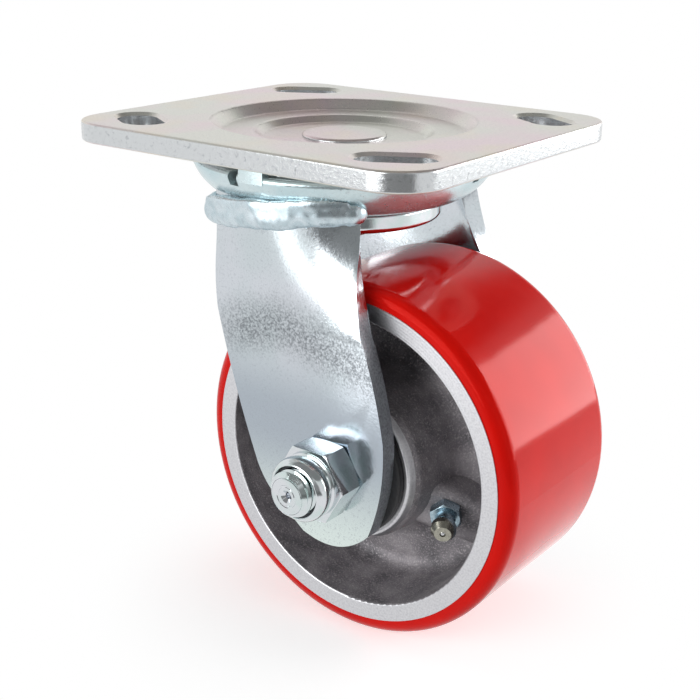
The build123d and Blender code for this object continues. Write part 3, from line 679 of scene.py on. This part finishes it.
class CASTOR_OT_dress_nodes(bpy.types.Operator):
    """Give each CAD part that stays its plated, cast or moulded finish"""

    bl_idname = "castor.dress_nodes"
    bl_label = "Dress the plain parts"

    def execute(self, context):
        for node, name in NODE_FINISH.items():
            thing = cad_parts[node]
            thing.data.materials.clear()
            thing.data.materials.append(finish(name))
        return {"FINISHED"}


class CASTOR_OT_fork_legs(bpy.types.Operator):
    """Roll the edges of the two fork legs"""

    bl_idname = "castor.fork_legs"
    bl_label = "Fork legs"

    def execute(self, context):
        sizes = context.scene.castor_sizes
        for side in ("near", "far"):
            leg = merged_copy(f"{side}_leg", f"{side}_leg_rolled")
            apply_modifier(leg, "rolled_edge", "BEVEL", {
                "width": sizes.leg_round, "segments": 4, "limit_method": "ANGLE",
                "angle_limit": LEG_CORNER, "use_clamp_overlap": True,
            })
            hand_over(leg, "fork", f"{side}_leg", "blue_zinc", LEG_CREASE)
        return {"FINISHED"}


class CASTOR_OT_weld_beads(bpy.types.Operator):
    """Melt the two weld beads into hand-run ripples"""

    bl_idname = "castor.weld_beads"
    bl_label = "Weld beads"

    def execute(self, context):
        sizes = context.scene.castor_sizes
        ripple = bpy.data.textures.new("weld_ripple", "CLOUDS")
        ripple.noise_scale = RIPPLE_WIDE
        ripple.noise_depth = 0
        for side in ("near", "far"):
            bead = merged_copy(f"{side}_weld_bead", f"{side}_weld_run")
            apply_modifier(bead, "melt", "REMESH", {"mode": "VOXEL", "voxel_size": WELD_GRID})
            apply_modifier(bead, "flow", "SMOOTH", {"factor": 0.5, "iterations": WELD_PASSES})
            apply_modifier(bead, "ripple", "DISPLACE", {
                "texture": ripple, "strength": sizes.weld_ripple, "mid_level": RIPPLE_MIDDLE,
                "texture_coords": "LOCAL",
            })
            hand_over(bead, "fork", f"{side}_weld_bead", "weld_zinc", WELD_CREASE)
        return {"FINISHED"}


class CASTOR_OT_axle_bolt(bpy.types.Operator):
    """Cut the thread, the chamfer and the centre mark of the bolt's tip"""

    bl_idname = "castor.axle_bolt"
    bl_label = "Axle bolt"

    def execute(self, context):
        sizes = context.scene.castor_sizes
        tip = BOLT_TIP_Y
        start = NUT_MOUTH_Y + THREAD_IN
        shank = merged_copy("axle_bolt", "shank")
        cut_across(shank, start - LAP)
        root = sizes.thread_root / MM
        core = spun("thread_core", [
            (0, start), (root, start), (root, tip + 0.9 * MM), (4.9, tip + 0.12 * MM),
            (4.78, tip), (3.2, tip), (3.02, tip + 0.16 * MM), (2.7, tip + 0.16 * MM),
            (2.5, tip), (1.75, tip), (0.85, tip + 0.85 * MM), (0.7, tip + 2.4 * MM), (0, tip + 2.4 * MM),
        ], sizes.round_steps)
        ridge = self.ridge(sizes, start, tip)
        bolt = join([shank, core, ridge], "axle_bolt_threaded")
        hand_over(bolt, "fork", "axle_bolt", "bright_zinc", TURNED_CREASE)
        return {"FINISHED"}

    def ridge(self, sizes, start, tip):
        """The thread's ridge: a trapezium wound along the bolt, trimmed by the chamfer at the tip."""
        pitch = sizes.thread_pitch
        turns = math.ceil((start - tip) / pitch) + 2
        inside = sizes.thread_root - 0.3 * MM
        corners = [
            Vector((inside, -0.5 * pitch, 0)), Vector((sizes.thread_root, -0.42 * pitch, 0)),
            Vector((BOLT_R, -0.08 * pitch, 0)), Vector((BOLT_R, 0.08 * pitch, 0)),
            Vector((sizes.thread_root, 0.42 * pitch, 0)), Vector((inside, 0.49 * pitch, 0)),
        ]
        ridge = drawn("thread_ridge", corners)
        bpy.ops.mesh.edge_face_add()
        bpy.ops.mesh.delete(type="ONLY_FACE")
        bpy.ops.object.mode_set(mode="OBJECT")
        apply_modifier(ridge, "wind", "SCREW", {
            "axis": "Y", "angle": 2 * math.pi, "screw_offset": -pitch, "iterations": turns,
            "steps": sizes.round_steps // 2, "render_steps": sizes.round_steps // 2, "use_merge_vertices": False,
        })
        bpy.ops.object.mode_set(mode="EDIT")
        bpy.ops.mesh.select_mode(type="EDGE")
        bpy.ops.mesh.select_all(action="DESELECT")
        bpy.ops.mesh.select_non_manifold()
        bpy.ops.mesh.edge_face_add()
        bpy.ops.mesh.select_mode(type="VERT")
        bpy.ops.object.mode_set(mode="OBJECT")
        ridge.location = (AXLE_X, start + pitch, AXLE_Z)
        bpy.ops.object.transform_apply(location=True, rotation=True, scale=True)
        outwards(ridge)
        trim = spun("thread_trim", [
            (0, start), (BOLT_R / MM + 0.2, start), (BOLT_R / MM + 0.2, tip + 1.5 * MM),
            (4.85, tip + 0.05 * MM), (0, tip + 0.05 * MM),
        ], sizes.round_steps)
        apply_modifier(ridge, "trim", "BOOLEAN", {"operation": "INTERSECT", "object": trim, "solver": "EXACT"})
        bpy.data.objects.remove(trim)
        return ridge


class CASTOR_OT_lock_nut(bpy.types.Operator):
    """Turn the rolled collar of the lock nut on its hexagon"""

    bl_idname = "castor.lock_nut"
    bl_label = "Lock nut"

    def execute(self, context):
        sizes = context.scene.castor_sizes
        seam = NUT_SEAT_Y - HEXAGON_HIGH
        mouth = NUT_MOUTH_Y
        hexagon = merged_copy("lock_nut", "hexagon")
        cut_across(hexagon, seam)
        apply_modifier(hexagon, "broken_edge", "BEVEL", {
            "width": HEXAGON_ROUND, "segments": 2, "limit_method": "ANGLE",
            "angle_limit": HEXAGON_CORNER, "use_clamp_overlap": True,
        })
        collar = spun("collar", [
            (6.45, seam + 0.3 * MM), (8.9, seam + 0.3 * MM), (8.75, seam - 0.35 * MM),
            (8.1, seam - 0.75 * MM), (8.0, seam - 1.15 * MM), (8.3, seam - 1.5 * MM),
            (8.8, seam - 2.0 * MM), (8.9, seam - 2.8 * MM), (8.86, mouth + 2.2 * MM),
            (8.6, mouth + 1.35 * MM), (8.2, mouth + 0.75 * MM), (7.95, mouth + 0.5 * MM),
            (7.85, mouth + 0.42 * MM), (7.7, mouth + 0.2 * MM), (7.45, mouth + 0.02 * MM),
            (7.25, mouth), (7.1, mouth + 0.2 * MM), (7.08, mouth + 2.4 * MM),
            (6.45, mouth + 2.5 * MM), (6.45, seam + 0.3 * MM),
        ], sizes.round_steps)
        nut = join([hexagon, collar], "lock_nut_turned")
        hand_over(nut, "fork", "lock_nut", "bright_zinc", TURNED_CREASE)
        return {"FINISHED"}


# ---------------------------------------------------------------- camera, lamps, floor

CAMERA_AZIMUTH = 36.67
CAMERA_ELEVATION = 19.73
CAMERA_ROLL = 0.74
CAMERA_DISTANCE = 365.47 * MM
CAMERA_LENS = 65.02
SENSOR_WIDTH = 36
AIM = Vector((10.0, 0.0, -75.0)) * MM
AIM_SHIFT = (-5.63 * MM, 9.43 * MM)
FRONT = (math.sin(math.radians(CAMERA_AZIMUTH)), -math.cos(math.radians(CAMERA_AZIMUTH)), 0.0)


def level_way(azimuth):
    """A level direction, in degrees anticlockwise from +X."""
    return math.cos(math.radians(azimuth)), math.sin(math.radians(azimuth)), 0.0


# Directions on the floor and in the room
LEFT, KEY_POOL, SIDE_POOL = level_way(160), level_way(254), level_way(50)
KEY_BOX = {"azimuth": 257, "elevation": 15, "distance": 0.8, "size": (0.6, 0.6)}
SIDE_BOX = {"azimuth": 50, "elevation": 12, "distance": 0.9, "size": (0.95, 0.55)}
# How bright mirrors see the ceiling behind on the right, in front, and behind on the left
DARK_CEILING, GREY_CEILING, PALE_CEILING = 0.14, 0.32, 0.7
CEILING_EDGE = (0.49, 0.55)
# and the front of the room, and the patch in its middle
FRONT_ROOM, CAMERA_STAND = 0.8, 0.36
# The surround lights more from low down, as far as this rise, than from above
LOW_RISE, LOW_SHARE, HIGH_SHARE = 0.6, 2.0, 0.25
FLOOR_SIZE = 6.0
FLOOR_DROP = 0.2 * MM
# The shadow's middle lies between the swivel axis and the axle
SHADOW_X = 0.7 * AXLE_X
FLOOR_PALE = (0.95, 0.95, 0.95, 1)
# To the eye the floor is lifted a little, and is white from here on out
FLOOR_LIFT = 0.5
WHITE_FROM = (0.03, 0.09)
# How bright mirrors see the floor's painted glow, the painted pools of light on it, and its front where it ends
FLOOR_SHEEN, KEY_SHEEN, SIDE_SHEEN, SHORT_SHEEN = 0.95, 2.0, 0.25, 0.18
SHORT_FROM = (0.22, 0.3)
POOL_FROM = (0.2, 0.25)


class CASTOR_OT_studio(bpy.types.Operator):
    """Set the floor, the white surround, the soft boxes and the camera"""

    bl_idname = "castor.studio"
    bl_label = "Studio"

    def execute(self, context):
        lights = context.scene.castor_studio
        self.surround(lights)
        self.floor()
        self.soft_box("key", lights.key_light, **KEY_BOX)
        self.soft_box("side", lights.side_light, **SIDE_BOX)
        self.camera()
        context.scene.view_settings.view_transform = "Standard"
        return {"FINISHED"}

    def camera(self):
        """A lens of 65 mm, a little over a third of a metre away, above and to the right of the lock nut side."""
        turn, lift, roll = (math.radians(a) for a in (CAMERA_AZIMUTH, CAMERA_ELEVATION, CAMERA_ROLL))
        back = Vector((math.sin(turn) * math.cos(lift), -math.cos(turn) * math.cos(lift), math.sin(lift)))
        level = Vector((math.cos(turn), math.sin(turn), 0))
        above = back.cross(level)
        right = level * math.cos(roll) + above * math.sin(roll)
        up = above * math.cos(roll) - level * math.sin(roll)
        place = AIM + right * AIM_SHIFT[0] + up * AIM_SHIFT[1] + back * CAMERA_DISTANCE
        bpy.ops.object.camera_add()
        eye = bpy.context.object
        eye.name = "eye"
        eye.data.lens = CAMERA_LENS
        eye.data.sensor_width = SENSOR_WIDTH
        eye.data.clip_start = 10 * MM
        eye.matrix_world = Matrix.Translation(place) @ Matrix((right, up, back)).transposed().to_4x4()
        bpy.context.scene.camera = eye

    def soft_box(self, name, radiance, azimuth, elevation, distance, size):
        """A soft box in a direction counted anticlockwise from +X, facing the castor, lit to a plain radiance."""
        turn, lift = math.radians(azimuth), math.radians(elevation)
        away = Vector((math.cos(turn) * math.cos(lift), math.sin(turn) * math.cos(lift), math.sin(lift)))
        bpy.ops.object.light_add(type="AREA", location=AIM + away * distance)
        lamp = bpy.context.object
        lamp.name = name
        lamp.data.shape = "RECTANGLE"
        lamp.data.size, lamp.data.size_y = size
        lamp.data.energy = radiance * math.pi * size[0] * size[1]
        lamp.rotation_euler = away.to_track_quat("Z", "Y").to_euler()
        lamp.visible_camera = False

    def surround(self, lights):
        """White all round to the eye; in reflections a white backdrop with a dark ceiling and a dark room in front."""
        world = bpy.data.worlds.new("studio")
        bpy.context.scene.world = world
        world.use_nodes = True
        tree = world.node_tree
        tree.nodes.clear()
        way = add(tree, PLACE, (), "Generated")
        rise = add(tree, AXES, (way,), "Z")
        ahead = add(tree, VECTORS, (way, FRONT), "Value", operation="DOT_PRODUCT")
        left = add(tree, VECTORS, (way, LEFT), "Value", operation="DOT_PRODUCT")
        # Behind, the ceiling is pale on the left and dark on the right; in front it is grey
        ceiling = add(tree, RANGE, (left, 0.3, 0.65, DARK_CEILING, PALE_CEILING), interpolation_type="SMOOTHSTEP")
        ceiling = add(tree, RANGE, (ahead, -0.2, 0.1, ceiling, GREY_CEILING), interpolation_type="SMOOTHSTEP")
        ceiling = add(tree, RANGE, (rise, *CEILING_EDGE, 1, ceiling), interpolation_type="SMOOTHSTEP")
        room = add(tree, RANGE, (ahead, -0.1, 0.3, 1, FRONT_ROOM), interpolation_type="SMOOTHSTEP")
        # A dark patch in the middle of the front, where a studio has its camera stand
        stand = add(tree, RANGE, (ahead, 0.84, 0.95, 1, CAMERA_STAND), interpolation_type="SMOOTHSTEP")
        backdrop = add(tree, MATHS, (room, ceiling), operation="MULTIPLY")
        mirror = add(tree, MATHS, (backdrop, stand), operation="MULTIPLY")
        light = add(tree, RANGE, (rise, 0, LOW_RISE, LOW_SHARE, HIGH_SHARE))
        light = add(tree, MATHS, (light, lights.surround), operation="MULTIPLY")
        glossy = add(tree, PATH, (), "Is Glossy Ray")
        seen = (add(tree, PATH, (), "Is Camera Ray"), add(tree, PATH, (), "Is Transmission Ray"))
        seen = add(tree, MATHS, seen, operation="MAXIMUM")
        strength = add(tree, RANGE, (glossy, 0, 1, light, mirror))
        strength = add(tree, RANGE, (seen, 0, 1, strength, 1.0))
        background = add(tree, "ShaderNodeBackground", {"Color": (1, 1, 1, 1), "Strength": strength})
        add(tree, "ShaderNodeOutputWorld", {"Surface": background})

    def floor(self):
        """A wide pale floor that keeps the castor's shadow and fades to white; in reflections it is a painted glow
        whose front is short.
        """
        bpy.ops.mesh.primitive_plane_add(size=FLOOR_SIZE, location=(0, 0, FLOOR_Z - FLOOR_DROP))
        ground = bpy.context.object
        ground.name = "studio_floor"
        take(ground)
        bpy.ops.object.transform_apply(location=True, rotation=True, scale=True)
        material, tree, place = new_material("pale_floor")
        flat = add(tree, MAPPING, {"Vector": place, "Location": (-SHADOW_X, 0, 0), "Scale": (1, 1, 0)})
        out = add(tree, VECTORS, (flat,), "Value", operation="LENGTH")
        unit = add(tree, VECTORS, (flat,), operation="NORMALIZE")
        eye = add(tree, PATH, (), "Is Camera Ray")
        # To the eye: pale with a shadow, and white further out
        lit = add(tree, "ShaderNodeBsdfDiffuse", {"Color": FLOOR_PALE, "Roughness": 0.0})
        lift = add(tree, MATHS, (eye, FLOOR_LIFT), operation="MULTIPLY")
        lifted = add(tree, "ShaderNodeAddShader", (lit, add(tree, GLOW, {"Strength": lift})))
        far = add(tree, RANGE, (out, *WHITE_FROM, 0, 1), interpolation_type="SMOOTHSTEP")
        far = add(tree, MATHS, (far, eye), operation="MULTIPLY")
        seen = add(tree, MIX_SHADER, (far, lifted, add(tree, GLOW, {"Strength": 1.0})))
        # In a mirror the floor is a painted glow, not lit: it ends early in front, and has a painted bright pool under
        # each soft box
        ahead = add(tree, VECTORS, (unit, FRONT), "Value", operation="DOT_PRODUCT")
        sector = add(tree, RANGE, (ahead, 0.78, 0.9, 0, 1), interpolation_type="SMOOTHSTEP")
        short = add(tree, RANGE, (out, *SHORT_FROM, 0, 1), interpolation_type="SMOOTHSTEP")
        short = add(tree, MATHS, (sector, short), operation="MULTIPLY")
        beside = add(tree, VECTORS, (unit, KEY_POOL), "Value", operation="DOT_PRODUCT")
        beside = add(tree, RANGE, (beside, 0.983, 0.997, 0, 1), interpolation_type="SMOOTHSTEP")
        pool = add(tree, RANGE, (out, *POOL_FROM, 0, 1), interpolation_type="SMOOTHSTEP")
        pool = add(tree, MATHS, (beside, pool), operation="MULTIPLY")
        bright = add(tree, RANGE, (pool, 0, 1, FLOOR_SHEEN, KEY_SHEEN))
        behind = add(tree, VECTORS, (unit, SIDE_POOL), "Value", operation="DOT_PRODUCT")
        behind = add(tree, RANGE, (behind, 0.9, 0.97, 0, SIDE_SHEEN), interpolation_type="SMOOTHSTEP")
        bright = add(tree, MATHS, (bright, behind), operation="ADD")
        sheen = add(tree, GLOW, {"Strength": add(tree, RANGE, (short, 0, 1, bright, SHORT_SHEEN))})
        glossy = add(tree, PATH, (), "Is Glossy Ray")
        add(tree, OUTPUT, {"Surface": add(tree, MIX_SHADER, (glossy, seen, sheen))})
        ground.data.materials.append(material)


OPERATORS = (
    CASTOR_OT_dress_nodes, CASTOR_OT_fork_legs, CASTOR_OT_weld_beads, CASTOR_OT_axle_bolt, CASTOR_OT_lock_nut,
    CASTOR_OT_studio,
)
GROUPS = {"castor_colours": CastorColours, "castor_sizes": CastorSizes, "castor_studio": CastorStudio}


class CASTOR_PT_steps(bpy.types.Panel):
    """The castor's colours, sizes and steps, in order"""

    bl_idname = "CASTOR_PT_steps"
    bl_label = "Swivel castor"
    bl_space_type = "VIEW_3D"
    bl_region_type = "UI"
    bl_category = "Castor"

    def draw(self, context):
        for name in GROUPS:
            box = self.layout.box()
            for value in GROUPS[name].__annotations__:
                box.prop(getattr(context.scene, name), value)
        for step in OPERATORS:
            self.layout.operator(step.bl_idname)


def register():
    """Register the groups, operators and panel."""
    for cls in (*GROUPS.values(), *OPERATORS, CASTOR_PT_steps):
        bpy.utils.register_class(cls)
    for name, cls in GROUPS.items():
        setattr(bpy.types.Scene, name, PointerProperty(type=cls))


def unregister():
    """Take everything off again."""
    for name in GROUPS:
        delattr(bpy.types.Scene, name)
    for cls in reversed((*GROUPS.values(), *OPERATORS, CASTOR_PT_steps)):
        bpy.utils.unregister_class(cls)


def main():
    """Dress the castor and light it."""
    register()
    start_clean()
    bpy.ops.castor.dress_nodes()
    bpy.ops.castor.fork_legs()
    bpy.ops.castor.weld_beads()
    bpy.ops.castor.axle_bolt()
    bpy.ops.castor.lock_nut()
    bpy.ops.castor.studio()


if __name__ == "__main__":
    main()
